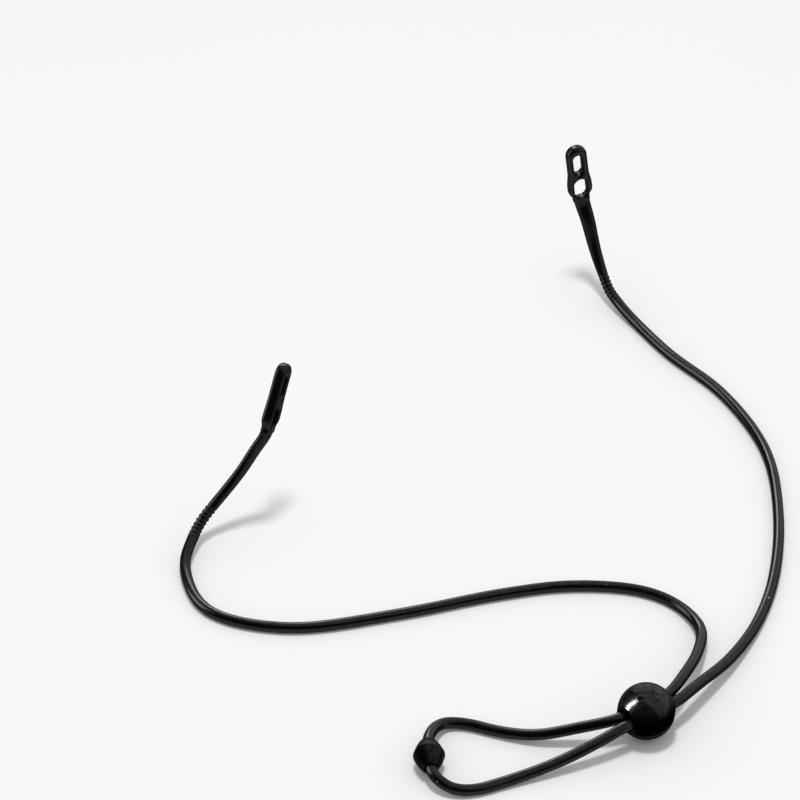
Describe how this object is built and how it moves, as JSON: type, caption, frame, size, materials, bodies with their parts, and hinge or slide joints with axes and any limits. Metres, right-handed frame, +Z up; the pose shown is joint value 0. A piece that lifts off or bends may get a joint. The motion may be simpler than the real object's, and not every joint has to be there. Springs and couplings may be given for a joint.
{
  "type": "eyeglass retainer strap",
  "caption": "Silicone cord loop that keeps eyeglasses round the neck, with a slotted grip for each temple arm, a ball slider and a bead that joins the cord ends.",
  "frame": {"origin": "centre of the footprint of the laid-out strap, on the table", "axes": "+Z up from the table, +X toward the wearer's right grip, +Y toward the glasses; the slider and end bead lie toward -Y"},
  "size_m": [0.1632, 0.1352, 0.0401],
  "materials": {
    "grip_silicone": "moulded black silicone, satin with polished high spots",
    "cord_silicone": "extruded black silicone, satin, faint draw lines and dust specks",
    "bead_silicone": "moulded black silicone, glossy with a fine parting line and light dust"
  },
  "bodies": {
    "cord_loop": {"left_cord": "cord_silicone", "right_cord": "cord_silicone", "end_bead": "bead_silicone"},
    "slider": {"slider_bead": "bead_silicone"},
    "left_grip": {"left_temple_grip": "grip_silicone"},
    "right_grip": {"right_temple_grip": "grip_silicone"}
  },
  "joints": [
    {"name": "slider_slide", "type": "slide", "parent": "cord_loop", "child": "slider", "axis": [-0.9848, 0.1736, 0], "range_m": [-0.012, 0.015], "deforming": ["left_cord", "right_cord"]},
    {"name": "left_grip_flex", "type": "hinge", "parent": "cord_loop", "child": "left_grip", "pos_m": [-0.06256, 0.05366, 0.0035], "axis": [0.4003, -0.9164, 0], "range_deg": [-35, 45], "stiffness_Nm_per_rad": 0.003},
    {"name": "right_grip_flex", "type": "hinge", "parent": "cord_loop", "child": "right_grip", "pos_m": [0.07494, 0.04786, 0.0025], "axis": [0.9657, -0.2596, 0], "range_deg": [-20, 45], "stiffness_Nm_per_rad": 0.003}
  ]
}
